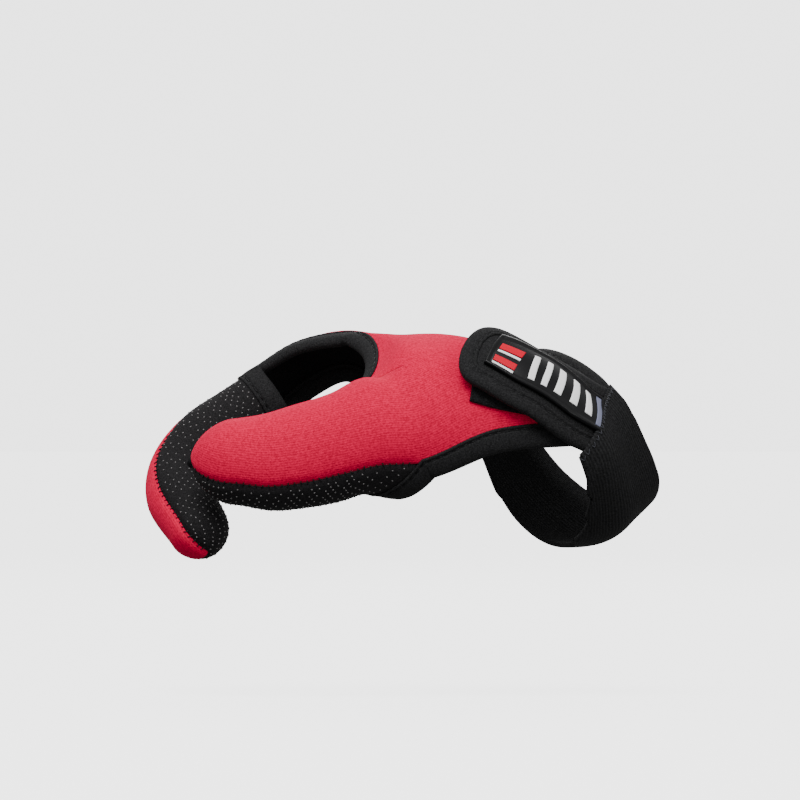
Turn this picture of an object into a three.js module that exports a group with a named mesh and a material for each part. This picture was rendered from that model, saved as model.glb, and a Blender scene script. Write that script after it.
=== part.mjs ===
import * as THREE from 'three';

// A two-finger casting glove: a Y-shaped back of red foam-backed knit that closes over the
// thumb and the index finger, grip cloth on the palm side of both sleeves, bound edges, and an
// elastic wrist strap whose bound tab closes on the back of the hand.
// +X to the wrist, +Z up, -Y the thumb side. The origin is the middle of the wrist ring.

// Sizes in millimetres
const SPAN = 100;
const CLOTH = 2.0;
const GRIP_CLOTH = 1.5;
const SEAM = 0.35;
const LIP = 0.7;
const THENAR_TAPE = 6.3;
const WEB_TAPE = 5.0;
const INDEX_TAPE = 5.6;
const BACK_TAPE = 5.0;
const WRIST_TAPE = 4.6;
const STRAP_REST = 1.3;
const STRAP_THICK = 1.6;
const STRAP_WIDTH = 25.6;
const STRAP_SLACK = 3.0;
const PATCH_THICK = 1.0;
const TAB_THICK = 2.4;
const TAB_WIDTH = 22.4;
const TAB_LENGTH = 50;
const TAB_TAPE = 4.4;
const TAB_LIP = 0.5;
const LABEL_THICK = 1.2;
const LABEL_RIM = 0.5;
const LABEL_REST = 0.8;

const rad = (degrees) => degrees * Math.PI / 180;
const mix = (a, b, t) => a + (b - a) * t;
const clamp = (t) => Math.min(1, Math.max(0, t));
const ease = (t) => clamp(t) ** 2 * (3 - 2 * clamp(t));
const add = (a, b, k = 1) => [a[0] + b[0] * k, a[1] + b[1] * k, a[2] + b[2] * k];
const sub = (a, b) => add(a, b, -1);
const dot = (a, b) => a[0] * b[0] + a[1] * b[1] + a[2] * b[2];
const cross = (a, b) => [
  a[1] * b[2] - a[2] * b[1],
  a[2] * b[0] - a[0] * b[2],
  a[0] * b[1] - a[1] * b[0],
];
const unit = (a) => add([0, 0, 0], a, 1 / Math.sqrt(dot(a, a)));
const lerp = (a, b, t) => add(a, sub(b, a), t);
const rows = (names, table) => table.map((line) => Object.fromEntries(
  names.split(' ').map((name, i) => [name, line[i]]),
));

// Rings round the hand, from the forearm to the knuckles, then the thumb and the index
// x, y, z, tall and deep are shares of SPAN; lean, yaw, near and arc are degrees.
// near is where the red cloth begins, on the palm side, and arc is how far it goes round.
const HAND = rows('x y z tall deep lean yaw near arc', [
  [0.154, 0.066, 0.031, 0.250, 0.230, 42, 26, -10, 160],
  [0.020, 0.000, -0.022, 0.310, 0.250, 42, 26, -12, 164],
  [-0.085, -0.020, -0.026, 0.375, 0.310, 40, 22, -11, 162],
  [-0.265, -0.010, -0.024, 0.325, 0.345, 23, 12, -7, 160],
  [-0.430, 0.000, -0.020, 0.297, 0.370, 8, 3, -20.5, 176.5],
]);
const THUMB = rows('x y z tall deep lean yaw near arc', [
  [-0.580, -0.250, -0.040, 0.180, 0.140, 0, 20, -31, 161],
  [-0.666, -0.245, -0.074, 0.167, 0.130, 6, 6, -31, 161],
  [-0.772, -0.240, -0.102, 0.160, 0.125, 8, 3, -31, 161],
  [-0.877, -0.235, -0.120, 0.150, 0.120, 4, -2, -31, 161],
  [-0.957, -0.230, -0.119, 0.136, 0.115, 0, -4, -31, 161],
]);
const INDEX = rows('x y z tall deep lean yaw near arc', [
  [-0.635, 0.200, 0.150, 0.140, 0.150, 2, 0, 66, 102],
  [-0.758, 0.220, 0.126, 0.130, 0.130, 18, 3, 76, 104],
  [-0.870, 0.220, 0.061, 0.120, 0.120, 30, 8, 88, 106],
  [-0.972, 0.200, 0.005, 0.112, 0.112, 34, 14, 92, 106],
  [-1.077, 0.160, -0.064, 0.110, 0.110, 44, 24, 88, 106],
  [-1.145, 0.090, -0.160, 0.112, 0.108, 71, 38, 62, 106],
  [-1.148, 0.000, -0.240, 0.108, 0.105, 98, 40, 37, 106],
  [-1.095, -0.090, -0.330, 0.096, 0.095, 115, 35, 25, 106],
]);
const THUMB_TIP = 0.162;
const INDEX_TIP = 0.096;
const TIP_ROWS = 5;
const TIP_POINT = 1.2;

// Shares of the trunk's arc where the thumb branch ends and the index branch begins
const THUMB_SHARE = 0.36;
const INDEX_SHARE = 0.68;

function ring(row, degrees) {
  const lean = rad(row.lean);
  const yaw = rad(row.yaw);
  const a = rad(degrees);
  const up = [-Math.sin(lean), 0, Math.cos(lean)];
  const side = [Math.sin(yaw) * Math.cos(lean), -Math.cos(yaw), Math.sin(yaw) * Math.sin(lean)];
  const centre = [row.x * SPAN, row.y * SPAN, row.z * SPAN];
  return add(add(centre, up, row.tall * SPAN * Math.sin(a)), side, row.deep * SPAN * Math.cos(a));
}

function axisOf(row) {
  const lean = rad(row.lean);
  const yaw = rad(row.yaw);
  return [-Math.cos(yaw) * Math.cos(lean), -Math.sin(yaw), -Math.cos(yaw) * Math.sin(lean)];
}

// A curve from p1 to p2 whose ends lean on p0 and p3, eased where the points crowd
function blend(p0, p1, p2, p3, t) {
  const stride = (a, b) => Math.sqrt(Math.hypot(...sub(b, a))) + 1e-6;
  const [s0, s1, s2] = [stride(p0, p1), stride(p1, p2), stride(p2, p3)];
  return [0, 1, 2].map((i) => {
    const step = p2[i] - p1[i];
    const m1 = step + s1 * ((p1[i] - p0[i]) / s0 - (p2[i] - p0[i]) / (s0 + s1));
    const m2 = step + s1 * ((p3[i] - p2[i]) / s2 - (p3[i] - p1[i]) / (s1 + s2));
    return p1[i] + t * (m1 + t * (3 * step - 2 * m1 - m2 + t * (m1 + m2 - 2 * step)));
  });
}

// A surface through a list of section curves: along counts sections, across runs on each curve
function through(sections) {
  const last = sections.length - 1;
  return (along, across) => {
    const k = Math.min(last - 1, Math.max(0, Math.floor(along)));
    const at = (i) => {
      if (i < 0) return lerp(sections[1](across), sections[0](across), 2);
      if (i > last) return lerp(sections[last - 1](across), sections[last](across), 2);
      return sections[i](across);
    };
    return blend(at(k - 1), at(k), at(k + 1), at(k + 2), along - k);
  };
}

function normalAt(surface, along, across) {
  const e = 0.02;
  const du = sub(surface(along + e, across), surface(along - e, across));
  const dv = sub(surface(along, across + e), surface(along, across - e));
  return unit(cross(dv, du));
}

// The bare hand surface, by ring number and angle in turns of a radian
const handRings = HAND.map((row) => (turn) => ring(row, turn * 180 / Math.PI));
const hand = through(handRings);

function tipRings(row, reach) {
  const axis = axisOf(row);
  return Array.from({ length: TIP_ROWS }, (_, i) => {
    const a = (i + 1) / TIP_ROWS * Math.PI / 2;
    const close = Math.max(0, Math.cos(a)) ** TIP_POINT;
    return (w) => {
      const middle = [row.x * SPAN, row.y * SPAN, row.z * SPAN];
      const rim = sub(ring(row, row.near + row.arc * w), middle);
      return add(add(middle, rim, close), axis, reach * SPAN * Math.sin(a));
    };
  });
}

const onRow = (row) => (w) => ring(row, row.near + row.arc * w);
const trunkRow = (row) => (share) => ring(row, row.near + row.arc * share);
const TRUNK_LAST = HAND.length - 1;

// Under the thumb the trunk's last ring gives way to one of the thumb's own size
const THENAR_RING = { x: -0.48, y: -0.26, z: -0.02, tall: 0.2, deep: 0.15, lean: 0, yaw: 20, near: -31, arc: 161 };

const thumbSections = [
  ...HAND.map((row, i) => (w) => {
    const own = trunkRow(row)(w * THUMB_SHARE);
    if (i < TRUNK_LAST) {
      return own;
    }
    const far = ease((-w - 0.7) / (360 / THUMB[0].arc - 1.7));
    const under = lerp(onRow(THENAR_RING)(w), trunkRow(row)(THUMB_SHARE), far);
    return lerp(own, under, ease(-w / 0.8));
  }),
  ...THUMB.map(onRow),
  ...tipRings(THUMB[THUMB.length - 1], THUMB_TIP),
];
const thumb = through(thumbSections);
const indexSections = [
  ...HAND.map((row) => (w) => trunkRow(row)(mix(INDEX_SHARE, 1, w))),
  ...INDEX.map(onRow),
  ...tipRings(INDEX[INDEX.length - 1], INDEX_TIP),
];
const index = through(indexSections);

// The web between the branches ends on a U that opens towards the fingertips
const WEB_REACH = [0.09, -0.04, 0.05];
const WEB_RETURN = [0.12, -0.06, 0.01];
const webRow = (w) => {
  const start = onRow(THUMB[0])(1);
  const end = onRow(INDEX[0])(0);
  const c1 = add(start, WEB_REACH, SPAN);
  const c2 = add(end, WEB_RETURN, SPAN);
  const a = lerp(lerp(start, c1, w), lerp(c1, c2, w), w);
  const b = lerp(lerp(c1, c2, w), lerp(c2, end, w), w);
  return lerp(a, b, w);
};
const webSections = [
  ...HAND.map((row) => (w) => trunkRow(row)(mix(THUMB_SHARE, INDEX_SHARE, w))),
  webRow,
  (w) => lerp(onRow(THUMB[1])(1), onRow(INDEX[1])(0), w),
];
const web = through(webSections);

// The web's curves run along its U at the corners, so its normals are taken just before it,
// and at the corners themselves from the branches
function webNormal(at, w) {
  if (at > TRUNK_LAST && (w < 0.001 || w > 0.999)) {
    return w < 0.5 ? normalAt(thumb, at, 1) : normalAt(index, at, 0);
  }
  return normalAt(web, Math.min(at, TRUNK_LAST + 0.8), w);
}

// Where the red cloth starts at the wrist, and where the grip cloth of each sleeve starts
const WRIST_EDGE = 0.45;
const GRIP_START = TRUNK_LAST;
const SLEEVE_START = TRUNK_LAST + 1;
const INDEX_START = TRUNK_LAST + 3 + 1 / 3;
const THUMB_TURN = 360 / THUMB[0].arc;
const INDEX_TURN = 360 / INDEX[3].arc;
const thumbMouth = (w) => mix(GRIP_START, SLEEVE_START, Math.sin(clamp(-w / 0.8) * Math.PI / 2));

// Each list of vertices is closed into a solid: the faces raised, lowered and walled all round
function shell(points, normals, faces, top, bottom) {
  const count = points.length;
  const vertices = [
    ...points.map((p, i) => add(p, normals[i], top(i))),
    ...points.map((p, i) => add(p, normals[i], bottom(i))),
  ];
  const solid = [];
  const edges = new Map();
  for (const [a, b, c] of faces) {
    solid.push([a, b, c], [a + count, c + count, b + count]);
    for (const [from, to] of [[a, b], [b, c], [c, a]]) {
      edges.set(`${from} ${to}`, [from, to]);
    }
  }
  for (const [from, to] of edges.values()) {
    if (!edges.has(`${to} ${from}`)) {
      solid.push([to, from, from + count], [to, from + count, to + count]);
    }
  }
  return { vertices, faces: solid };
}

function quads(faces, a, b, c, d) {
  for (const face of [[a, b, c], [a, c, d]]) {
    if (new Set(face).size === 3) {
      faces.push(face);
    }
  }
}

// A patch over a grid of surface parameters; place(i, j) gives its point and its normal
function patch(across, along, place, top, bottom) {
  const points = [];
  const normals = [];
  const faces = [];
  for (let i = 0; i <= along; i += 1) {
    for (let j = 0; j <= across; j += 1) {
      const { p, n } = place(i / along, j / across);
      points.push(p);
      normals.push(n);
    }
  }
  const at = (i, j) => i * (across + 1) + j;
  for (let i = 0; i < along; i += 1) {
    for (let j = 0; j < across; j += 1) {
      quads(faces, at(i, j), at(i, j + 1), at(i + 1, j + 1), at(i + 1, j));
    }
  }
  const share = (k) => [Math.floor(k / (across + 1)) / along, (k % (across + 1)) / across];
  return shell(points, normals, faces, (k) => top(...share(k)), (k) => bottom(...share(k)));
}

// The Y of the back: trunk columns shared by thumb, web and index, then each branch by itself
const COLUMNS = { thumb: 11, web: 10, index: 7 };
const STEPS = { trunk: [2, 3, 4, 4, 4], thumb: [2, 3, 3, 2], index: [3, 3, 3, 3, 3, 2, 2] };

function levels(start, steps, tips) {
  const list = [start];
  steps.forEach((count, k) => {
    const from = k === 0 ? start : Math.floor(start) + k;
    const to = Math.floor(start) + k + 1;
    for (let i = 1; i <= count; i += 1) {
      list.push(mix(from, to, i / count));
    }
  });
  for (let i = 1; i <= tips; i += 1) {
    list.push(Math.floor(start) + steps.length + i);
  }
  return list;
}

function backPanel() {
  const points = [];
  const normals = [];
  const faces = [];
  const known = new Map();
  const branches = {
    thumb: { surface: thumb, last: thumbSections.length - 1, axis: axisOf(THUMB[THUMB.length - 1]) },
    web: { surface: web, last: Infinity },
    index: { surface: index, last: indexSections.length - 1, axis: axisOf(INDEX[INDEX.length - 1]) },
  };
  const vertex = (branch, along, j) => {
    const { surface, last, axis } = branches[branch];
    const normal = branch === 'web' ? webNormal : (at, w) => normalAt(surface, at, w);
    const tip = along >= last;
    const key = tip ? `${branch} tip` : `${branch} ${along.toFixed(3)} ${j}`;
    if (!known.has(key)) {
      const w = j / COLUMNS[branch];
      known.set(key, points.length);
      points.push(surface(along, w));
      normals.push(tip ? axis : normal(along, w));
    }
    return known.get(key);
  };
  const column = (along, c) => {
    if (c <= COLUMNS.thumb) {
      return vertex('thumb', along, c);
    }
    if (c < COLUMNS.thumb + COLUMNS.web) {
      return vertex('web', along, c - COLUMNS.thumb);
    }
    return vertex('index', along, c - COLUMNS.thumb - COLUMNS.web);
  };
  const all = COLUMNS.thumb + COLUMNS.web + COLUMNS.index;
  const weave = (list, from, to) => {
    for (let i = 0; i + 1 < list.length; i += 1) {
      for (let c = from; c < to; c += 1) {
        quads(faces, column(list[i], c), column(list[i], c + 1),
          column(list[i + 1], c + 1), column(list[i + 1], c));
      }
    }
  };
  weave(levels(WRIST_EDGE, STEPS.trunk, 0), 0, all);
  weave(levels(SLEEVE_START, STEPS.thumb, TIP_ROWS), 0, COLUMNS.thumb);
  weave(levels(SLEEVE_START, STEPS.index, TIP_ROWS), COLUMNS.thumb + COLUMNS.web, all);
  return shell(points, normals, faces, () => 0, () => -CLOTH);
}

// Grip cloth fills the rest of the sleeve's turn, a seam's clearance from the red on both sides.
// Its rows meet the red's own rows; the first few fan out to the sleeve's slanted mouth.
function grip(surface, sections, turn, mouth, list, fan, columnCount, row) {
  const last = sections.length - 1;
  const points = [];
  const normals = [];
  const faces = [];
  const known = new Map();
  const axis = axisOf(row);
  const place = (i, j) => {
    const share = j / columnCount;
    const w = mix(0, 1 - turn, share);
    const along = i < fan ? mix(mouth(w), list[0], i / fan) : list[i - fan];
    if (along >= last) {
      const towards = sub(surface(last - TIP_ROWS, (1 - turn) / 2), surface(last - TIP_ROWS, 0.5));
      return { p: add(surface(last, 0), unit(towards), SEAM), n: axis };
    }
    const span = Math.hypot(...sub(surface(along, w + 0.01), surface(along, w - 0.01))) / 0.02;
    const inside = mix(-SEAM / span, 1 - turn + SEAM / span, share);
    return { p: surface(along, inside), n: normalAt(surface, along, inside) };
  };
  const rowsIn = fan + list.length - 1;
  const at = (i, j) => {
    const { p, n } = place(i, j);
    const key = p.map((value) => value.toFixed(4)).join();
    if (!known.has(key)) {
      known.set(key, points.length);
      points.push(p);
      normals.push(n);
    }
    return known.get(key);
  };
  for (let i = 0; i < rowsIn; i += 1) {
    for (let j = 0; j < columnCount; j += 1) {
      quads(faces, at(i, j), at(i + 1, j), at(i + 1, j + 1), at(i, j + 1));
    }
  }
  return shell(points, normals, faces, () => 0, () => -GRIP_CLOTH);
}

const level = (a, n) => unit(add(a, n, -dot(a, n)));

// A rounded bar swept beside an edge: the edge's cloth is on its right, the open side on its left
function bar(edgePath, size, thick, lip, mitre = [0, 0], pinch = () => 1) {
  const path = edgePath.filter((spot, i) => {
    const end = edgePath.length - 1;
    const [corner, slant] = i === 1 ? [0, mitre[0]] : [end, mitre[1]];
    const near = Math.hypot(...sub(spot.p, edgePath[corner].p));
    return (i !== 1 && i !== end - 1) || slant * size < near * 0.9;
  });
  const last = path.length - 1;
  const vertices = [];
  const faces = [];
  path.forEach(({ p, n }, i) => {
    const list = i === 0 || i === last ? edgePath : path;
    const k = i === last ? list.length - 1 : i;
    const ahead = level(sub(list[Math.min(list.length - 1, k + 1)].p, list[Math.max(0, k - 1)].p), n);
    const out = cross(n, ahead);
    const slant = (i === 0 ? mitre[0] : 0) - (i === last ? mitre[1] : 0);
    const trim = (i === 0 ? SEAM / 2 : 0) - (i === last ? SEAM / 2 : 0);
    const width = size * pinch(i, last);
    const round = Math.min(1.5, width * 0.3);
    const profile = [
      [SEAM, lip], [width - round, lip], [width - round * 0.25, lip * 0.1],
      [width, -thick / 2], [width - round * 0.25, -thick - lip * 0.1],
      [width - round, -thick - lip], [SEAM, -thick - lip],
    ];
    for (const [q, h] of profile) {
      vertices.push(add(add(add(p, out, q), n, h), ahead, q * slant + trim));
    }
  });
  const m = vertices.length / path.length;
  for (let i = 0; i < last; i += 1) {
    for (let k = 0; k < m; k += 1) {
      const next = (k + 1) % m;
      faces.push([i * m + k, i * m + next, (i + 1) * m + next]);
      faces.push([i * m + k, (i + 1) * m + next, (i + 1) * m + k]);
    }
  }
  for (let k = 1; k + 1 < m; k += 1) {
    faces.push([0, k + 1, k]);
    faces.push([last * m, last * m + k, last * m + k + 1]);
  }
  return { vertices, faces };
}

// The path of each binding runs through the corners of the cloth beside it
const along = (surface, list, w) => list.map((at) => (
  { p: surface(at, w), n: normalAt(surface, at, w) }));
const across = (surface, at, count) => Array.from({ length: count + 1 }, (_, i) => {
  const w = i / count;
  return { p: surface(at, w), n: surface === web ? webNormal(at, w) : normalAt(surface, at, w) };
});
const GRIP_COLUMNS = 12;
const mouth = (surface, turn, start) => Array.from({ length: GRIP_COLUMNS + 1 }, (_, i) => {
  const w = (1 - turn) * i / GRIP_COLUMNS;
  return { p: surface(start(w), w), n: normalAt(surface, start(w), w) };
});
const trunkLevels = levels(WRIST_EDGE, STEPS.trunk, 0);
const thumbLevels = levels(SLEEVE_START, STEPS.thumb, TIP_ROWS);
const indexAll = levels(SLEEVE_START, STEPS.index, TIP_ROWS);
const indexLevels = indexAll.filter((at) => at > INDEX_START - 0.01);
const indexOpen = indexAll.filter((at) => at < INDEX_START + 0.01);
const openLevels = [...trunkLevels, ...indexOpen.slice(1)];
const runs = {
  web_binding: [
    ...across(web, SLEEVE_START, COLUMNS.web).slice(1),
    ...along(index, indexOpen.slice(1), 0),
  ],
  index_binding: mouth(index, INDEX_TURN, () => INDEX_START),
  back_binding: along(index, openLevels.toReversed(), 1),
  wrist_binding: [
    ...across(index, WRIST_EDGE, COLUMNS.index).reverse(),
    ...across(web, WRIST_EDGE, COLUMNS.web).reverse().slice(1),
    ...across(thumb, WRIST_EDGE, COLUMNS.thumb).reverse().slice(1),
  ],
  thenar_binding: [
    ...along(thumb, trunkLevels.filter((at) => at <= GRIP_START), 0),
    ...mouth(thumb, THUMB_TURN, thumbMouth).slice(1),
  ],
};
const widths = {
  web_binding: WEB_TAPE,
  index_binding: INDEX_TAPE,
  back_binding: BACK_TAPE,
  wrist_binding: WRIST_TAPE,
  thenar_binding: THENAR_TAPE,
};

// Tapes narrow where they meet in the notch behind the thumb and at the two wrist corners
const NOTCH_WIDTH = 2.6;
const CORNER_WIDTH = 2.8;
const PINCH_SECTIONS = 4;
const narrowed = (width, tape, distance) => mix(width / tape, 1, ease(distance / PINCH_SECTIONS));
const pinches = {
  web_binding: (i) => narrowed(NOTCH_WIDTH, WEB_TAPE, i),
  back_binding: (i, last) => narrowed(CORNER_WIDTH, BACK_TAPE, last - i),
  wrist_binding: (i, last) => narrowed(CORNER_WIDTH, WRIST_TAPE, Math.min(i, last - i)),
  thenar_binding: (i, last) => Math.min(
    narrowed(CORNER_WIDTH, THENAR_TAPE, i),
    narrowed(NOTCH_WIDTH, THENAR_TAPE, last - i),
  ),
};

function bindings() {
  const names = Object.keys(runs);
  const paths = names.map((name) => runs[name]);
  const turn = (k) => {
    if (names[k] === 'thenar_binding') {
      return 0;
    }
    const a = paths[k];
    const b = paths[(k + 1) % paths.length];
    const t1 = level(sub(a[a.length - 1].p, a[a.length - 2].p), b[0].n);
    const t2 = level(sub(b[1].p, b[0].p), b[0].n);
    const side = Math.sign(dot(cross(t1, t2), b[0].n));
    return side * Math.tan(Math.acos(Math.min(1, dot(t1, t2))) / 2);
  };
  return Object.fromEntries(names.map((name, k) => {
    const before = turn((k + names.length - 1) % names.length);
    return [name, bar(paths[k], widths[name], CLOTH, LIP, [before, turn(k)], pinches[name])];
  }));
}

// A step across the hand from a ring number and an angle, kept on its surface
const WALK_STEPS = 8;

function walk(ringStart, turnStart, towards, distance) {
  const e = 0.004;
  let [at, turn, heading] = [ringStart, turnStart, unit(towards)];
  for (let i = 0; i < WALK_STEPS; i += 1) {
    const here = hand(at, turn);
    const hs = sub(hand(at + e, turn), here).map((value) => value / e);
    const ht = sub(hand(at, turn + e), here).map((value) => value / e);
    heading = level(heading, normalAt(hand, at, turn));
    const [ss, st, tt] = [dot(hs, hs), dot(hs, ht), dot(ht, ht)];
    const [sh, th] = [dot(hs, heading), dot(ht, heading)];
    const size = distance / WALK_STEPS / (ss * tt - st * st);
    at += (tt * sh - st * th) * size;
    turn += (ss * th - st * sh) * size;
  }
  return { p: hand(at, turn), n: normalAt(hand, at, turn) };
}

// The elastic round the wrist, from the slanted joint to its sewn end on the back panel
const STRAP_RING = 1.2;
const STRAP_SWING = 0.4;
const STRAP_JOINT = [0, -34];
const JOINT_GAP = 3;
const STRAP_END = [-240, -231];

function elastic() {
  const place = (u, v) => {
    const from = mix(STRAP_JOINT[0], STRAP_JOINT[1], v) - JOINT_GAP;
    const turn = rad(mix(from, mix(STRAP_END[0], STRAP_END[1], v), u));
    const along = STRAP_RING + STRAP_SWING * Math.sin(Math.PI * u);
    const run = sub(hand(along + 0.1, turn), hand(along, turn));
    return walk(along, turn, run, mix(-1, 1, v) * STRAP_WIDTH / 2);
  };
  const rest = (u) => STRAP_REST + STRAP_SLACK * Math.sin(Math.PI * u);
  return patch(6, 34, place, (u) => rest(u) + STRAP_THICK, rest);
}

// The tab's middle line on the hand, by ring number and degrees, from the joint to the tip
const TAB_LINE = rows('along turn', [
  [1.114, -13.8],
  [1.537, -2.6],
  [1.831, 10.2],
  [2.091, 19.3],
  [2.287, 28.5],
  [2.489, 36.2],
  [2.624, 40.1],
]);
const tabLine = through(TAB_LINE.map((row) => () => [row.along, rad(row.turn), 0]));

function tabSpot(length, offset) {
  const at = (share) => tabLine(share * (TAB_LINE.length - 1), 0);
  const [ring0, turn0] = at(length);
  const [ring1, turn1] = at(length + 0.01);
  const run = sub(hand(ring1, turn1), hand(ring0, turn0));
  const side = cross(run, normalAt(hand, ring0, turn0));
  return walk(ring0, turn0, side, offset);
}

const HOOK_REST = SEAM + PATCH_THICK + SEAM;
const TAB_REST = HOOK_REST + PATCH_THICK + SEAM;
const TAB_START_REST = STRAP_REST + 0.5;
const TAB_RISE = 0.24;
const tabRest = (length) => mix(TAB_START_REST, TAB_REST, ease(length / TAB_RISE));
const BODY_HALF = TAB_WIDTH / 2 - TAB_TAPE + SEAM;
const TIP_SHARE = BODY_HALF / TAB_LENGTH;
const BODY_END = 1 - TAB_TAPE / TAB_LENGTH;
const TIP_FULL = 0.975;

// Half the width of the tab's body; its tip is a half circle
function bodyHalf(length) {
  const x = clamp((length - (BODY_END - TIP_SHARE)) / TIP_SHARE);
  return BODY_HALF * Math.sqrt(Math.max(0, 1 - (x * TIP_FULL) ** 2));
}

function bodyLength(u) {
  const straight = BODY_END - TIP_SHARE;
  const part = 0.62;
  return u < part
    ? mix(0.008, straight, u / part)
    : straight + TIP_SHARE * Math.sin((u - part) / (1 - part) * Math.PI / 2);
}

const TAB_COLUMNS = 6;
const TAB_ROWS = 16;

function tabBody() {
  const place = (u, v) => {
    const length = bodyLength(u);
    return tabSpot(length, mix(-1, 1, v) * bodyHalf(length));
  };
  return patch(TAB_COLUMNS, TAB_ROWS, place, (u) => tabRest(bodyLength(u)) + TAB_THICK, (u) => tabRest(bodyLength(u)));
}

function tabBinding() {
  const spot = (u, v) => {
    const length = bodyLength(u);
    const { p, n } = tabSpot(length, mix(-1, 1, v) * bodyHalf(length));
    return { p: add(p, n, tabRest(length) + TAB_THICK), n };
  };
  const steps = Array.from({ length: TAB_ROWS + 1 }, (_, i) => i / TAB_ROWS);
  const columns = Array.from({ length: TAB_COLUMNS - 1 }, (_, j) => (j + 1) / TAB_COLUMNS);
  const path = [
    ...steps.map((u) => spot(u, 0)),
    ...columns.map((v) => spot(1, v)),
    ...steps.toReversed().map((u) => spot(u, 1)),
  ];
  return bar(path, TAB_TAPE, TAB_THICK, TAB_LIP);
}

const LABEL_FROM = 0.03;
const LABEL_TO = 0.76;
const LABEL_HALF = [6.0, 5.0];

function label() {
  const stops = [0, 0.07, 0.1, 0.5, 0.9, 0.93, 1];
  const ends = [0, 0.02, 0.03, 0.2, 0.35, 0.5, 0.65, 0.8, 0.97, 0.98, 1];
  const length = (u) => mix(LABEL_FROM, LABEL_TO, ends[Math.round(u * (ends.length - 1))]);
  const place = (u, v) => {
    const spot = length(u);
    const t = (spot - LABEL_FROM) / (LABEL_TO - LABEL_FROM);
    const across = mix(-1, 1, stops[Math.round(v * (stops.length - 1))]);
    return tabSpot(spot, 0.6 + across * mix(LABEL_HALF[0], LABEL_HALF[1], t));
  };
  const floor = (u) => tabRest(length(u)) + TAB_THICK + LABEL_REST;
  const rim = (u, v) => {
    const i = Math.round(u * (ends.length - 1));
    const j = Math.round(v * (stops.length - 1));
    const edgeOf = i < 2 || i > ends.length - 3 || j < 2 || j > stops.length - 3;
    return floor(u) + LABEL_THICK + (edgeOf ? LABEL_RIM : 0);
  };
  return patch(stops.length - 1, ends.length - 1, place, rim, floor);
}

function hookPatch() {
  const place = (u, v) => tabSpot(mix(0.3, 0.8, u), mix(-1, 1, v) * (BODY_HALF - 1));
  return patch(5, 8, place, () => HOOK_REST + PATCH_THICK, () => HOOK_REST);
}

// Corners of the loop patch on the hand: joint end then tip end, lower then upper
const LOOP_CORNERS = rows('along turn', [
  [2.30, -4.5],
  [1.70, 20],
  [3.16, 13],
  [2.70, 38.5],
]);

function loopPatch() {
  const place = (u, v) => {
    const at = (name) => mix(
      mix(LOOP_CORNERS[0][name], LOOP_CORNERS[1][name], v),
      mix(LOOP_CORNERS[2][name], LOOP_CORNERS[3][name], v),
      u,
    );
    const [along, turn] = [at('along'), rad(at('turn'))];
    return { p: hand(along, turn), n: normalAt(hand, along, turn) };
  };
  return patch(6, 8, place, () => SEAM + PATCH_THICK, () => SEAM);
}

function node(name, { vertices, faces }, colour, roughness) {
  const geometry = new THREE.BufferGeometry();
  geometry.setAttribute('position', new THREE.Float32BufferAttribute(vertices.flat(), 3));
  let volume = 0;
  for (const [a, b, c] of faces) {
    volume += dot(vertices[a], cross(vertices[b], vertices[c]));
  }
  geometry.setIndex((volume > 0 ? faces : faces.map(([a, b, c]) => [a, c, b])).flat());
  const material = new THREE.MeshStandardMaterial({ color: colour, roughness, metalness: 0 });
  const mesh = new THREE.Mesh(geometry, material);
  mesh.name = name;
  return mesh;
}

const RED = 0xdd3f55;
const BLACK = 0x222224;
const thumbGrip = grip(thumb, thumbSections, THUMB_TURN, thumbMouth, thumbLevels,
  STEPS.trunk[TRUNK_LAST], GRIP_COLUMNS, THUMB[THUMB.length - 1]);
const indexGrip = grip(index, indexSections, INDEX_TURN, () => INDEX_START, indexLevels,
  0, GRIP_COLUMNS, INDEX[INDEX.length - 1]);
const edgeTapes = bindings();
const glove = new THREE.Group();
glove.add(
  node('back_panel', backPanel(), RED, 0.9),
  node('thumb_grip', thumbGrip, BLACK, 0.9),
  node('index_grip', indexGrip, BLACK, 0.9),
  ...Object.entries(edgeTapes).map(([name, solid]) => node(name, solid, BLACK, 0.85)),
  node('loop_patch', loopPatch(), 0x1b1b1d, 1),
  node('hook_patch', hookPatch(), 0x1b1b1d, 0.9),
  node('strap_tab', tabBody(), BLACK, 0.9),
  node('tab_binding', tabBinding(), BLACK, 0.85),
  node('label', label(), 0x111114, 0.35),
  node('elastic_strap', elastic(), 0x262628, 0.9),
);
export default glove;
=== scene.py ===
"""A two-finger casting glove in its worn form.

A Y-shaped back of red foam-backed knit closes over the thumb and the index finger. Dotted grip
cloth makes the palm side of both sleeves, folded tape binds every open edge, and an elastic
strap goes round the wrist and ends in a bound tab that closes on the back of the hand.
Lengths in the tables are in millimetres or in shares of the hand's span; meshes are in metres.
"""

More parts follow.
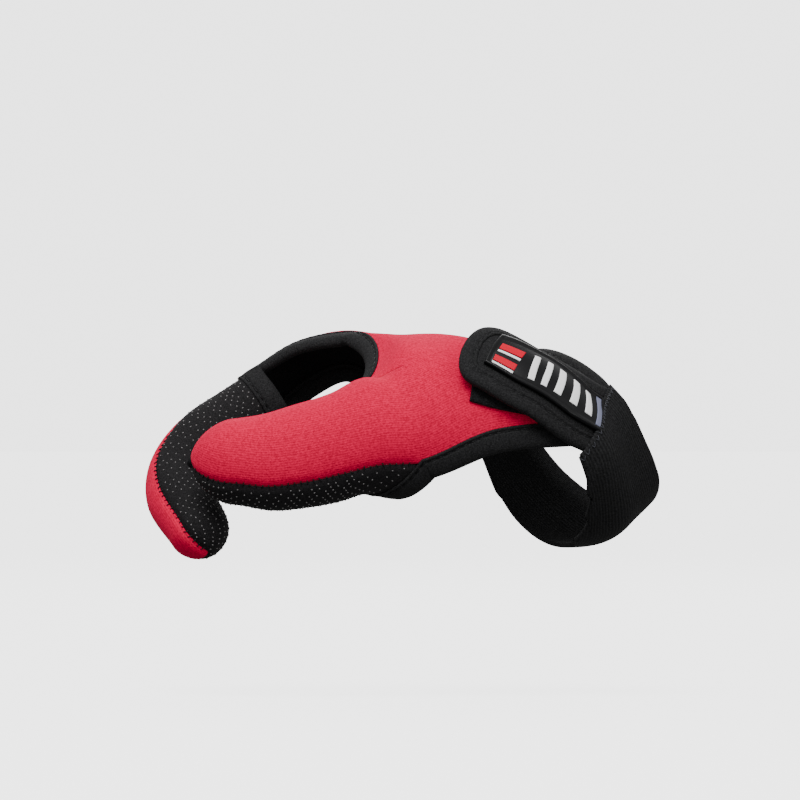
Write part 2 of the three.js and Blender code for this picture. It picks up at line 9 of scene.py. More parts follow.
import bmesh
import bpy
import numpy as np
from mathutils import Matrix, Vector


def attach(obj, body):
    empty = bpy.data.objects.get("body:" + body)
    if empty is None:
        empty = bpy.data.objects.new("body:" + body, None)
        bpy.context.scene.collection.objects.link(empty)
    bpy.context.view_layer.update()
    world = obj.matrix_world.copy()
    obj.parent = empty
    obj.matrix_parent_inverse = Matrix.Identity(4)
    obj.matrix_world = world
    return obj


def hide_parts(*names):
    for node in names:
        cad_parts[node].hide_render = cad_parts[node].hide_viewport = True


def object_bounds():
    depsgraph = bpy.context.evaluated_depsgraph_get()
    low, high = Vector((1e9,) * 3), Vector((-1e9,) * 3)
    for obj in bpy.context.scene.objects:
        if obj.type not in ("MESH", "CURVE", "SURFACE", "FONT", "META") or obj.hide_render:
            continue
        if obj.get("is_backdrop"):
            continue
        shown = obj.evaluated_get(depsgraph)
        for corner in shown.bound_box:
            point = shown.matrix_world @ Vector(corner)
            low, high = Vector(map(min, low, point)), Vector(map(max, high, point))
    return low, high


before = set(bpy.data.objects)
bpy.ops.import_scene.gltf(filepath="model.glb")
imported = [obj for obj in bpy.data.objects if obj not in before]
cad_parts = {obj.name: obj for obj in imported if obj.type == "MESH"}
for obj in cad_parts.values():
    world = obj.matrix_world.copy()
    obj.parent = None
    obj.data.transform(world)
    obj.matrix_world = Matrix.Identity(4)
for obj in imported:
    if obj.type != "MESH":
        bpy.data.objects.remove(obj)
cad_low, cad_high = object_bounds()
MM = 0.001


# Camera: level with the hand and square to the thumb side, through a long lens.
# The picture is 246 mm wide where the thumb sleeve is.
VIEW_CENTRE = (-0.0471, -0.025, 0.0071)
VIEW_WIDTH = 0.246
VIEW_DISTANCE = 2.5

lens = bpy.data.cameras.new("camera")
lens.lens = lens.sensor_width * VIEW_DISTANCE / VIEW_WIDTH
lens.clip_end = 20
camera = bpy.data.objects.new("camera", lens)
camera.location = (VIEW_CENTRE[0], VIEW_CENTRE[1] - VIEW_DISTANCE, VIEW_CENTRE[2])
camera.rotation_euler = (np.pi / 2, 0, 0)
bpy.context.collection.objects.link(camera)
bpy.context.scene.camera = camera


# Studio: a white room that is darker below, a large soft lamp above the camera, a weaker
# one on the right and one behind, and a plain pale floor under the glove, lit from within so that
# it is even.
FLOOR_Z = -0.085
FLOOR_HALF = 12.0
FLOOR_GLOW = 3.0
ROOM_BELOW = 0.25
ROOM_ABOVE = 0.85
ROOM_SEEN = 3.1
LAMPS = [
    # name, place, turn in degrees, width, watts
    ("key_lamp", (-0.4, -1.2, 1.6), (37, 0, -18), 1.2, 42),
    ("fill_lamp", (1.3, -1.2, 0.4), (80, 0, 47), 1.0, 7),
    ("back_lamp", (0.2, 1.4, 1.2), (-50, 0, 8), 1.2, 16),
]


def linear(colour):
    """sRGB hex to linear light: c / 12.92 in the shadows, ((c + 0.055) / 1.055) ** 2.4 above"""
    parts = np.array([colour >> 16, colour >> 8 & 255, colour & 255]) / 255
    light = np.where(parts < 0.04045, parts / 12.92, ((parts + 0.055) / 1.055) ** 2.4)
    return (*light.tolist(), 1.0)


def node(material, kind, inputs=None, **settings):
    """Adds a node; each input is a value, or another node's output to link"""
    made = material.node_tree.nodes.new(kind)
    for key, value in settings.items():
        setattr(made, key, value)
    for key, value in (inputs or {}).items():
        if isinstance(value, bpy.types.NodeSocket):
            material.node_tree.links.new(value, made.inputs[key])
        else:
            made.inputs[key].default_value = value
    return made


def finish(name, colour, roughness, **sockets):
    """A material with its main shader; more sockets are given by name, _ for a space"""
    made = bpy.data.materials.new(name)
    made.use_nodes = True
    shader = made.node_tree.nodes["Principled BSDF"]
    shader.inputs["Base Color"].default_value = linear(colour)
    shader.inputs["Roughness"].default_value = roughness
    for key, value in sockets.items():
        shader.inputs[key.replace("_", " ")].default_value = value
    return made, shader


room = bpy.data.worlds.new("white room")
room.use_nodes = True
seen = node(room, "ShaderNodeLightPath").outputs["Is Camera Ray"]
towards = node(room, "ShaderNodeTexCoord").outputs["Generated"]
height = node(room, "ShaderNodeSeparateXYZ", {0: towards}).outputs["Z"]
lit = node(room, "ShaderNodeMapRange", {
    "Value": height, "From Min": -0.5, "From Max": 0.5, "To Min": ROOM_BELOW, "To Max": ROOM_ABOVE})
strength = node(room, "ShaderNodeMix", {"Factor": seen, "A": lit.outputs["Result"], "B": ROOM_SEEN})
walls = room.node_tree.nodes["Background"]
walls.inputs["Color"].default_value = (1, 1, 1, 1)
room.node_tree.links.new(strength.outputs["Result"], walls.inputs["Strength"])
bpy.context.scene.world = room

for name, place, turn, width, watts in LAMPS:
    lamp = bpy.data.lights.new(name, "AREA")
    lamp.shape = "DISK"
    lamp.size = width
    lamp.energy = watts
    holder = bpy.data.objects.new(name, lamp)
    holder.location = place
    holder.rotation_euler = np.radians(turn)
    bpy.context.collection.objects.link(holder)

# Lit studio floor: matte white acrylic over lamps, which gives an even pale ground
floor_paint, shader = finish(
    "lit white acrylic floor", 0x9A9A9A, 0.9, Emission_Color=(1, 1, 1, 1),
    Emission_Strength=FLOOR_GLOW, Specular_IOR_Level=0.0)
sheet = bpy.data.meshes.new("floor")
corners = [(x * FLOOR_HALF, y * FLOOR_HALF, FLOOR_Z)
           for x, y in [(-1, -1), (1, -1), (1, 1), (-1, 1)]]
sheet.from_pydata(corners, [], [(0, 1, 2, 3)])
sheet.materials.append(floor_paint)
floor = bpy.data.objects.new("floor", sheet)
floor.visible_diffuse = False
floor.visible_glossy = False
bpy.context.collection.objects.link(floor)
floor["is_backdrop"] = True


# Back panel: one Y-shaped cut of red ribbed knit bonded to 2 mm foam, with a black lining.
# Its stem lies on the back of the hand, its arms close over the thumb and the index finger,
# and its form is a smooth surface through rings round the hand.
SPAN = 100.0
CLOTH = 2.0
WRIST_EDGE = 0.45
SEAM_DROP = 0.6
SEAM_ROLL = 1.3
RING_NAMES = "x y z tall deep lean yaw near arc".split()


def rings(table):
    return [dict(zip(RING_NAMES, line)) for line in table]


# x, y, z, tall and deep are shares of SPAN; lean, yaw, near and arc are degrees
HAND = rings([
    (0.154, 0.066, 0.031, 0.250, 0.230, 42, 26, -10, 160),
    (0.020, 0.000, -0.022, 0.310, 0.250, 42, 26, -12, 164),
    (-0.085, -0.020, -0.026, 0.375, 0.310, 40, 22, -11, 162),
    (-0.265, -0.010, -0.024, 0.325, 0.345, 23, 12, -7, 160),
    (-0.430, 0.000, -0.020, 0.297, 0.370, 8, 3, -20.5, 176.5),
])
THUMB = rings([
    (-0.580, -0.250, -0.040, 0.180, 0.140, 0, 20, -31, 161),
    (-0.666, -0.245, -0.074, 0.167, 0.130, 6, 6, -31, 161),
    (-0.772, -0.240, -0.102, 0.160, 0.125, 8, 3, -31, 161),
    (-0.877, -0.235, -0.120, 0.150, 0.120, 4, -2, -31, 161),
    (-0.957, -0.230, -0.119, 0.136, 0.115, 0, -4, -31, 161),
])
INDEX = rings([
    (-0.635, 0.200, 0.150, 0.140, 0.150, 2, 0, 66, 102),
    (-0.758, 0.220, 0.126, 0.130, 0.130, 18, 3, 76, 104),
    (-0.870, 0.220, 0.061, 0.120, 0.120, 30, 8, 88, 106),
    (-0.972, 0.200, 0.005, 0.112, 0.112, 34, 14, 92, 106),
    (-1.077, 0.160, -0.064, 0.110, 0.110, 44, 24, 88, 106),
    (-1.145, 0.090, -0.160, 0.112, 0.108, 71, 38, 62, 106),
    (-1.148, 0.000, -0.240, 0.108, 0.105, 98, 40, 37, 106),
    (-1.095, -0.090, -0.330, 0.096, 0.095, 115, 35, 25, 106),
])
THENAR_RING = rings([(-0.48, -0.26, -0.02, 0.2, 0.15, 0, 20, -31, 161)])[0]
THUMB_TIP = 0.162
INDEX_TIP = 0.096
TIP_ROWS = 5
TIP_POINT = 1.2
THUMB_SHARE = 0.36
INDEX_SHARE = 0.68
WEB_REACH = (0.09, -0.04, 0.05)
WEB_RETURN = (0.12, -0.06, 0.01)
CORNER_SHARE = 0.12
LAST = len(HAND) - 1
SLEEVE = LAST + 1
INDEX_MOUTH = LAST + 3 + 1 / 3
THUMB_TURN = 360 / 161
INDEX_TURN = 360 / 106
THUMB_END = LAST + len(THUMB) + TIP_ROWS
INDEX_END = LAST + len(INDEX) + TIP_ROWS


def ease(t):
    """0 to 1 with level ends: t² (3 − 2t)"""
    t = np.clip(t, 0, 1)
    return t * t * (3 - 2 * t)


def mix(a, b, t):
    return a + (b - a) * t


def dot(a, b):
    return (a * b).sum(-1, keepdims=True)


def unit(a):
    return a / np.sqrt(dot(a, a))


def ring(row, degrees):
    """A point of a leaning ellipse: centre + tall·sin(a) up it + deep·cos(a) to its side"""
    lean, yaw = np.radians([row["lean"], row["yaw"]])
    a = np.radians(np.asarray(degrees, float))[..., None]
    up = np.array([-np.sin(lean), 0, np.cos(lean)])
    side = np.array([np.sin(yaw) * np.cos(lean), -np.cos(yaw), np.sin(yaw) * np.sin(lean)])
    centre = np.array([row["x"], row["y"], row["z"]])
    return SPAN * (centre + row["tall"] * np.sin(a) * up + row["deep"] * np.cos(a) * side)


def blend(p0, p1, p2, p3, t):
    """A cubic from p1 to p2. Its end slopes weigh both neighbours by the root of their distance"""
    s0, s1, s2 = (np.sqrt(np.linalg.norm(b - a, axis=-1, keepdims=True)) + 1e-6
                  for a, b in [(p0, p1), (p1, p2), (p2, p3)])
    step = p2 - p1
    m1 = step + s1 * ((p1 - p0) / s0 - (p2 - p0) / (s0 + s1))
    m2 = step + s1 * ((p3 - p2) / s2 - (p3 - p1) / (s1 + s2))
    return p1 + t * (m1 + t * (3 * step - 2 * m1 - m2 + t * (m1 + m2 - 2 * step)))


def through(sections):
    """The surface through section curves: along counts sections, across runs on each of them"""
    def surface(along, across):
        along, across = np.broadcast_arrays(np.asarray(along, float), np.asarray(across, float))
        curves = np.stack([np.broadcast_to(curve(across), across.shape + (3,))
                           for curve in sections])
        first, final = 2 * curves[:1] - curves[1:2], 2 * curves[-1:] - curves[-2:-1]
        curves = np.concatenate([first, curves, final])
        k = np.clip(np.floor(along), 0, len(sections) - 2).astype(int)
        four = (np.take_along_axis(curves, (k + i)[None, ..., None], 0)[0] for i in range(4))
        return blend(*four, (along - k)[..., None])
    return surface


def normal_at(surface, along, across, end=np.inf):
    """The unit cross product of the surface's two slopes, taken over a short step. At a
    fingertip's pole, where the rings end in a point, it is taken just before the end"""
    e = 0.02
    along = np.minimum(along, end - 0.05)
    du = surface(along + e, across) - surface(along - e, across)
    dv = surface(along, across + e) - surface(along, across - e)
    return unit(np.cross(dv, du))


def on_row(row):
    return lambda w: ring(row, row["near"] + row["arc"] * w)


def tip_rings(row, reach):
    """Rings that shrink as a power of cos(a) while they move on by reach·sin(a)"""
    lean, yaw = np.radians([row["lean"], row["yaw"]])
    axis = np.array([-np.cos(yaw) * np.cos(lean), -np.sin(yaw), -np.cos(yaw) * np.sin(lean)])
    middle = SPAN * np.array([row["x"], row["y"], row["z"]])

    def rim(a):
        close = max(0.0, np.cos(a)) ** TIP_POINT
        ahead = reach * SPAN * np.sin(a) * axis
        return lambda w: middle + (on_row(row)(w) - middle) * close + ahead
    return [rim((i + 1) / TIP_ROWS * np.pi / 2) for i in range(TIP_ROWS)]


def thumb_trunk(w):
    """The trunk's last ring over the thumb, turning under it into a ring of the thumb's size"""
    own = on_row(HAND[LAST])(w * THUMB_SHARE)
    far = ease((-w - 0.7) / (THUMB_TURN - 1.7))[..., None]
    under = mix(on_row(THENAR_RING)(w), on_row(HAND[LAST])(THUMB_SHARE + 0 * w), far)
    return mix(own, under, ease(-w / 0.8)[..., None])


def web_edge(w):
    """A cubic Bézier curve from the thumb sleeve's corner to the index sleeve's"""
    start, end = on_row(THUMB[0])(1.0), on_row(INDEX[0])(0.0)
    c1, c2 = start + SPAN * np.array(WEB_REACH), end + SPAN * np.array(WEB_RETURN)
    w = w[..., None]
    return ((1 - w) ** 3 * start + 3 * w * (1 - w) ** 2 * c1
            + 3 * w * w * (1 - w) * c2 + w ** 3 * end)


def share_of(row, start, stop):
    return lambda w: on_row(row)(mix(start, stop, w))


thumb = through([
    *[share_of(row, 0, THUMB_SHARE) for row in HAND[:-1]], thumb_trunk,
    *map(on_row, THUMB), *tip_rings(THUMB[-1], THUMB_TIP),
])
index = through([
    *[share_of(row, INDEX_SHARE, 1) for row in HAND],
    *map(on_row, INDEX), *tip_rings(INDEX[-1], INDEX_TIP),
])
web = through([
    *[share_of(row, THUMB_SHARE, INDEX_SHARE) for row in HAND], web_edge,
    lambda w: mix(on_row(THUMB[1])(1.0), on_row(INDEX[1])(0.0), w[..., None]),
])


def web_normal(along, w):
    """The web's normal just inside its edge, which turns into each sleeve's own at the corners"""
    inner = normal_at(web, np.minimum(along, LAST + 0.8), w)
    edge = ease((along - LAST) / 0.8)[..., None]
    near_thumb = edge * ease(1 - w / CORNER_SHARE)[..., None]
    near_index = edge * ease((w - (1 - CORNER_SHARE)) / CORNER_SHARE)[..., None]
    inner = unit(mix(inner, normal_at(thumb, along, 1 + 0 * w), near_thumb))
    return unit(mix(inner, normal_at(index, along, 0 * w), near_index))


def stations(start, stop, step):
    return np.linspace(start, stop, round((stop - start) / step) + 1)


def run_lengths(points, axis):
    """Distance from the first point to each one, along one side of a grid"""
    steps = np.linalg.norm(np.diff(points, axis=axis), axis=-1)
    return np.concatenate([0 * steps.take([0], axis), steps.cumsum(axis)], axis)


def piece(name, grids, materials, slot, nodes=(), wall=0.0, closed=False):
    """Joins grids of points in mm into one object. Each grid is (points, pattern, material
    number); its faces look to the left of its rows. A wall grows inwards, a closed shape
    is turned to look outwards."""
    built = bmesh.new()
    pattern = built.loops.layers.uv.new("pattern")
    for points, chart, number in grids:
        rows, columns = points.shape[:2]
        corners = [built.verts.new(p) for p in (points.reshape(-1, 3) * MM).tolist()]
        charts = (chart.reshape(-1, 2) * MM).tolist()
        ids = np.arange(rows * columns).reshape(rows, columns)
        quads = np.stack([ids[:-1, :-1], ids[:-1, 1:], ids[1:, 1:], ids[1:, :-1]], -1)
        for quad in quads.reshape(-1, 4).tolist():
            face = built.faces.new([corners[k] for k in quad])
            face.material_index = number
            for loop, k in zip(face.loops, quad):
                loop[pattern].uv = charts[k]
    bmesh.ops.remove_doubles(built, verts=built.verts, dist=2e-6)
    if closed:
        bmesh.ops.recalc_face_normals(built, faces=built.faces)
    for face in built.faces:
        face.smooth = True
    mesh = bpy.data.meshes.new(name)
    built.to_mesh(mesh)
    built.free()
    for material in materials:
        mesh.materials.append(material)
    made = bpy.data.objects.new(name, mesh)
    bpy.context.collection.objects.link(made)
    if wall:
        thick = made.modifiers.new("wall", "SOLIDIFY")
        thick.thickness = wall * MM
        thick.offset = -1
        thick.material_offset = 1
        thick.material_offset_rim = 1
    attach(made, "root")
    if nodes:
        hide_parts(*nodes)
    return made


def wander(points, seed, scale):
    """Smooth unevenness: eight sine waves with random directions through space"""
    draw = np.random.default_rng(seed)
    waves = draw.normal(size=(8, 3)) / scale
    phases = draw.uniform(0, 2 * np.pi, 8)
    return np.sin(points @ waves.T + phases).mean(-1)


def seam_dip(distance):
    """How far cloth is pulled down beside a seam: a bell that fades over SEAM_ROLL"""
    return SEAM_DROP * np.exp(-(distance / SEAM_ROLL) ** 2)


def pressed(points, normals, dip):
    """Lowers cloth by dip and lets the rest wander a little"""
    height = 0.35 * wander(points, 4, 7.0) * (1 - dip / SEAM_DROP) - dip
    return points + normals * height[..., None]


def red_cloth(surface, normal, rows, columns, seams, start):
    """One branch of the panel. seams gives the rows from which its low and high sides are sewn;
    the knit's ribs run along it, start mm from the panel's own first rib"""
    u, w = np.meshgrid(rows, columns, indexing="ij")
    points, normals = surface(u, w), normal(u, w)
    low = run_lengths(points, 1)
    high = low[:, -1:] - low
    dip = seam_dip(low) * ease((u - seams[0]) / 0.4) + seam_dip(high) * ease((u - seams[1]) / 0.4)
    along = run_lengths(points, 0)
    return pressed(points, normals, dip), np.stack([start + low, along], -1)


trunk_rows = stations(WRIST_EDGE, SLEEVE, 1 / 20)
thumb_rows = np.concatenate([trunk_rows, stations(SLEEVE, THUMB_END, 1 / 8)[1:]])
index_rows = np.concatenate([trunk_rows, stations(SLEEVE, INDEX_END, 1 / 9)[1:]])
thumb_columns, web_columns, index_columns = (np.linspace(0, 1, n) for n in (49, 33, 41))
NEVER = 99

# Knit seen from its right side: fine ribs 0.75 mm apart, each a row of small loops; matte,
# with the soft bloom of brushed polyester.
RIB = 0.75
red_knit, shader = finish(
    "red ribbed polyester knit", 0xD0003C, 0.9, Sheen_Weight=0.12, Sheen_Roughness=0.5,
    Sheen_Tint=(1.0, 0.12, 0.22, 1.0), Specular_IOR_Level=0.08)
chart = node(red_knit, "ShaderNodeUVMap", uv_map="pattern").outputs["UV"]
place = node(red_knit, "ShaderNodeTexCoord").outputs["Object"]
waver = node(red_knit, "ShaderNodeTexNoise", {"Vector": place, "Scale": 220.0, "Detail": 1.0})
apart = node(red_knit, "ShaderNodeSeparateXYZ", {0: chart})
phase = node(red_knit, "ShaderNodeMath", {0: apart.outputs["X"], 1: 2 * np.pi / (RIB * MM)},
             operation="MULTIPLY")
bent = node(red_knit, "ShaderNodeMath", {0: waver.outputs[0], 1: 1.8, 2: phase.outputs[0]},
            operation="MULTIPLY_ADD")
rib = node(red_knit, "ShaderNodeMath", {0: bent.outputs[0]}, operation="SINE")
loops = node(red_knit, "ShaderNodeTexNoise", {"Vector": place, "Scale": 1500.0, "Detail": 2.0})
raised = node(red_knit, "ShaderNodeMath", {0: rib.outputs[0], 1: 0.09, 2: loops.outputs[0]},
              operation="MULTIPLY_ADD")
shade = node(red_knit, "ShaderNodeValToRGB", {0: raised.outputs[0]})
shade.color_ramp.elements[0].position = 0.3
shade.color_ramp.elements[0].color = linear(0xB60030)
shade.color_ramp.elements[1].position = 0.72
shade.color_ramp.elements[1].color = linear(0xE40046)
bump = node(red_knit, "ShaderNodeBump",
            {"Height": raised.outputs[0], "Strength": 0.5, "Distance": 0.25 * MM})
red_knit.node_tree.links.new(shade.outputs[0], shader.inputs["Base Color"])
red_knit.node_tree.links.new(bump.outputs[0], shader.inputs["Normal"])


def grainy(name, dark, light, roughness, grain, depth, **sockets):
    """Black cloth: noise as coarse as its yarn mixes two tones and lifts the surface"""
    made, main = finish(name, dark, roughness, Specular_IOR_Level=0.15, **sockets)
    spot = node(made, "ShaderNodeTexCoord").outputs["Object"]
    yarn = node(made, "ShaderNodeTexNoise",
                {"Vector": spot, "Scale": 1 / (grain * MM), "Detail": 2.0})
    tone = node(made, "ShaderNodeValToRGB", {0: yarn.outputs[0]})
    tone.color_ramp.elements[0].position = 0.35
    tone.color_ramp.elements[0].color = linear(dark)
    tone.color_ramp.elements[1].position = 0.75
    tone.color_ramp.elements[1].color = linear(light)
    lift = node(made, "ShaderNodeBump",
                {"Height": yarn.outputs[0], "Strength": 0.6, "Distance": depth * MM})
    made.node_tree.links.new(tone.outputs[0], main.inputs["Base Color"])
    made.node_tree.links.new(lift.outputs[0], main.inputs["Normal"])
    return made


# Brushed black lining on the foam's inner side
lining = grainy("black brushed jersey", 0x0E0E10, 0x1E1E20, 0.95, 0.5, 0.2)

thumb_part = red_cloth(thumb, lambda u, w: normal_at(thumb, u, w, THUMB_END), thumb_rows,
                       thumb_columns, (LAST, SLEEVE), 0)
web_part = red_cloth(web, web_normal, trunk_rows, web_columns, (NEVER, NEVER), 46)
index_part = red_cloth(index, lambda u, w: normal_at(index, u, w, INDEX_END), index_rows,
                       index_columns, (INDEX_MOUTH, NEVER), 80)
piece(
    "back_panel_knit", [(*thumb_part, 0), (*web_part, 0), (*index_part, 0)],
    [red_knit, lining], "red_knit", ["back_panel"], wall=CLOTH)


# Grip cloth: a stretch weave with rows of small rubber dots, sewn to the red along both sides
# of each sleeve. It faces the rod: under the thumb and inside the bent index finger.
GRIP_CLOTH = 1.5
DOT_PITCH = 2.8
DOT_RADIUS = 0.25
DOT_HEIGHT = 0.22


def thumb_mouth(w):
    """The thumb sleeve's slanted mouth: it runs from the trunk's last ring to the sleeve's first"""
    return mix(LAST, SLEEVE, np.sin(np.clip(-w / 0.8, 0, 1) * np.pi / 2))


def grip_cloth(surface, turn, mouth, end, steps, columns):
    """The rest of a sleeve's turn, from its mouth to the fingertip, dipped at both seams"""
    w = np.linspace(0, 1 - turn, columns)[None, :]
    share = np.linspace(0, 1, steps)[:, None]
    u = mix(mouth(w), end, share)
    w = w + 0 * u
    points, normals = surface(u, w), normal_at(surface, u, w, end)
    low = run_lengths(points, 1)
    dip = seam_dip(low) + seam_dip(low[:, -1:] - low)
    laid = pressed(points, normals, np.minimum(dip, SEAM_DROP))
    return laid, normals, np.stack([low, run_lengths(points, 0)], -1)


grip_weave = grainy("black stretch weave", 0x0C0B0C, 0x222022, 0.8, 0.45, 0.15)
grips = {}
for name, surface, turn, mouth, end, steps, columns in [
    ("thumb_grip", thumb, THUMB_TURN, thumb_mouth, THUMB_END, 90, 60),
    ("index_grip", index, INDEX_TURN, lambda w: INDEX_MOUTH + 0 * w, INDEX_END, 96, 80),
]:
    laid, normals, chart = grip_cloth(surface, turn, mouth, end, steps, columns)
    grips[name] = laid, normals, chart
    flipped = (laid[::-1], chart[::-1], 0)
    piece(name + "_cloth", [flipped], [grip_weave, lining], "grip_cloth", [name], wall=GRIP_CLOTH)

# Grip dots: printed silicone, pale grey and a little glossy
silicone, shader = finish("printed grey silicone", 0x646262, 0.45)


def domes(name, centres, normals, radius, height, material, slot):
    """A small dome on each centre: an eight-sided foot, a shoulder at 0.75 and a top"""
    a = np.arange(9) * np.pi / 4
    side = unit(np.cross(normals, [0.31, 0.53, 0.79]))
    other = np.cross(normals, side)
    grids = []
    spin = (np.cos(a)[:, None, None] * side + np.sin(a)[:, None, None] * other) * radius
    for inner, outer in [((1, -0.3), (1, 0.35)), ((1, 0.35), (0.7, 0.85)), ((0.7, 0.85), (0, 1))]:
        pair = [centres + spin * r + normals * height * h for r, h in (inner, outer)]
        grids.append(np.stack(pair))
    rows = np.concatenate([grids[0], grids[1][1:], grids[2][1:]])
    grids = [(rows[:, :, k], np.zeros((4, 9, 2)), 0) for k in range(rows.shape[2])]
    return piece(name, grids, [material], slot, closed=True)


def lattice(laid, normals, chart, pitch, margin):
    """Staggered spots on a grid of points, pitch mm apart both ways, margin mm from the seams"""
    spots, tops = [], []
    along = chart[:, chart.shape[1] // 2, 1]
    levels = np.arange(margin, along[-1] - margin, pitch / 2)
    for number, level in enumerate(levels):
        i = np.searchsorted(along, level)
        width = chart[i, :, 0]
        middle = width[-1] / 2
        reach = np.arange(-40, 40) * pitch + (number % 2) * pitch / 2 + middle
        reach = reach[(reach > margin) & (reach < width[-1] - margin)]
        j = np.searchsorted(width, reach).clip(1, len(width) - 1)
        t = ((reach - width[j - 1]) / (width[j] - width[j - 1]))[:, None]
        spots.append(mix(laid[i, j - 1], laid[i, j], t))
        tops.append(unit(mix(normals[i, j - 1], normals[i, j], t)))
    return np.concatenate(spots), np.concatenate(tops)


for name, (laid, normals, chart) in grips.items():
    spots, tops = lattice(laid, normals, chart, DOT_PITCH, 1.6)
    domes(name + "_dots", spots, tops, DOT_RADIUS, DOT_HEIGHT, silicone, "grip_cloth")


# Sleeve seams: the red and the grip cloth are overlocked together with black thread, whose
# loops bite into the red as a row of small teeth.
TOOTH_PITCH = 2.0
THREAD = 0.2


def strands(name, paths, ups, radius, material, slot, sides=6):
    """Round threads: each path is swept by a circle that closes at both ends"""
    paths, ups = np.asarray(paths), np.asarray(ups)
    ahead = unit(np.gradient(paths, axis=1))
    side = unit(np.cross(ahead, ups))
    lift = np.cross(side, ahead)
    size = np.full(paths.shape[1], radius)
    size[[0, -1]] = 0
    a = np.linspace(0, 2 * np.pi, sides + 1)[None, None, :, None]
    around = np.cos(a) * side[:, :, None] + np.sin(a) * lift[:, :, None]
    points = paths[:, :, None] + around * size[None, :, None, None]
    grids = [(tube, np.zeros(tube.shape[:2] + (2,)), 0) for tube in points]
    return piece(name, grids, [material], slot, closed=True)


def spaced(points, normals, pitch):
    """Places pitch mm apart on a path, with its normals and its direction"""
    length = run_lengths(points, 0)
    at = np.arange(pitch / 2, length[-1], pitch)
    rows = points, normals, np.gradient(points, length, axis=0)
    spots, tops, ahead = (
        np.stack([np.interp(at, length, row[:, i]) for i in range(3)], -1) for row in rows)
    return spots, unit(tops), unit(ahead)


thread, shader = finish("black polyester thread", 0x0E0E10, 0.55, Specular_IOR_Level=0.3)
draw = np.random.default_rng(11)
for name, surface, rows, w, inward in [
    ("thumb_seam_low", thumb, stations(LAST + 0.1, THUMB_END - 0.3, 0.05), 0.0, 1),
    ("thumb_seam_high", thumb, stations(SLEEVE, THUMB_END - 0.3, 0.05), 1.0, -1),
    ("index_seam_low", index, stations(INDEX_MOUTH + 0.1, INDEX_END - 0.4, 0.05), 0.0, 1),
    ("index_seam_high", index, stations(INDEX_MOUTH + 0.1, INDEX_END - 0.4, 0.05), 1.0, -1),
]:
    path = surface(rows, w + 0 * rows)
    tops = normal_at(surface, rows, w + 0 * rows)
    spots, tops, ahead = spaced(path, tops, TOOTH_PITCH)
    into_red = np.cross(ahead, tops) * inward
    count = len(spots)
    bite = draw.uniform(0.5, 1.15, count)[:, None]
    skew = draw.uniform(-0.4, 0.4, count)[:, None]
    paths = []
    for share, height in [(-0.9, -0.25), (-0.7, 0.05), (0.0, 0.15), (0.6, 0.12), (1.0, -0.2)]:
        reach = share * bite
        level = height - seam_dip(np.abs(reach))
        paths.append(spots + into_red * reach + ahead * skew * share + tops * level)
    strands(name, np.stack(paths, 1), np.repeat(tops[:, None], 5, 1), THREAD, thread, "edge_tape")


# Edge bindings: stretch tape folded over every open edge of the cloth and sewn through both
# its sides in one line, which leaves a narrow rolled strip on the red and a full outer roll.
SEAM = 0.35
LIP = 0.7
LAP = 1.3
NOTCH_WIDTH = 2.6
CORNER_WIDTH = 2.8
STITCH = 2.1
STITCH_GAP = 0.7
STITCH_PULL = 0.07
MITRE_REACH = 1.6
PINCH = 12
WEB_TAPE = 5.0
INDEX_TAPE = 5.6
BACK_TAPE = 5.0
WRIST_TAPE = 4.6
THENAR_TAPE = 6.3
edge_tape = grainy("black folded stretch tape", 0x0E0E0F, 0x2A2A2B, 0.85, 0.4, 0.18)


def edge(surface, rows, w):
    rows, w = np.broadcast_arrays(np.asarray(rows, float), np.asarray(w, float))
    normals = web_normal(rows, w) if surface is web else normal_at(surface, rows, w)
    return surface(rows, w), normals


def joined(*parts):
    """Runs one path into the next, dropping each shared point, and smooths the normals"""
    points = np.concatenate([parts[0][0], *[p[1:] for p, _ in parts[1:]]])
    normals = np.concatenate([parts[0][1], *[n[1:] for _, n in parts[1:]]])
    for _ in range(6):
        middle = (normals[:-2] + 2 * normals[1:-1] + normals[2:]) / 4
        normals = np.concatenate([normals[:1], unit(middle), normals[-1:]])
    return points, normals


def level(a, n):
    return unit(a - n * dot(a, n))


def tape_profile(width, thick, lip, lap):
    """The folded tape cut across: out from the cloth's edge, and up from its top. An inner
    strip, the groove that the stitches pull, a full roll to the outer edge, and the same below"""
    top = [
        (-lap, 0.02), (-lap - 0.05, 0.3), (-lap + 0.2, 0.55), (-lap * 0.55, 0.66),
        (-lap * 0.22, 0.3),
        (0.1, 0.14), (0.4, 0.6), (0.9, lip), (width * 0.4, lip + 0.12), (width * 0.62, lip + 0.05),
        (width - 1.1, lip * 0.75), (width - 0.5, lip * 0.2), (width - 0.12, -thick * 0.2),
        (width, -thick / 2),
    ]
    below = [(q, -thick - h) for q, h in reversed(top[:-1])]
    return np.array([*top, *below, (0.1, -thick + 0.05), (0.1, -0.05), top[0]])


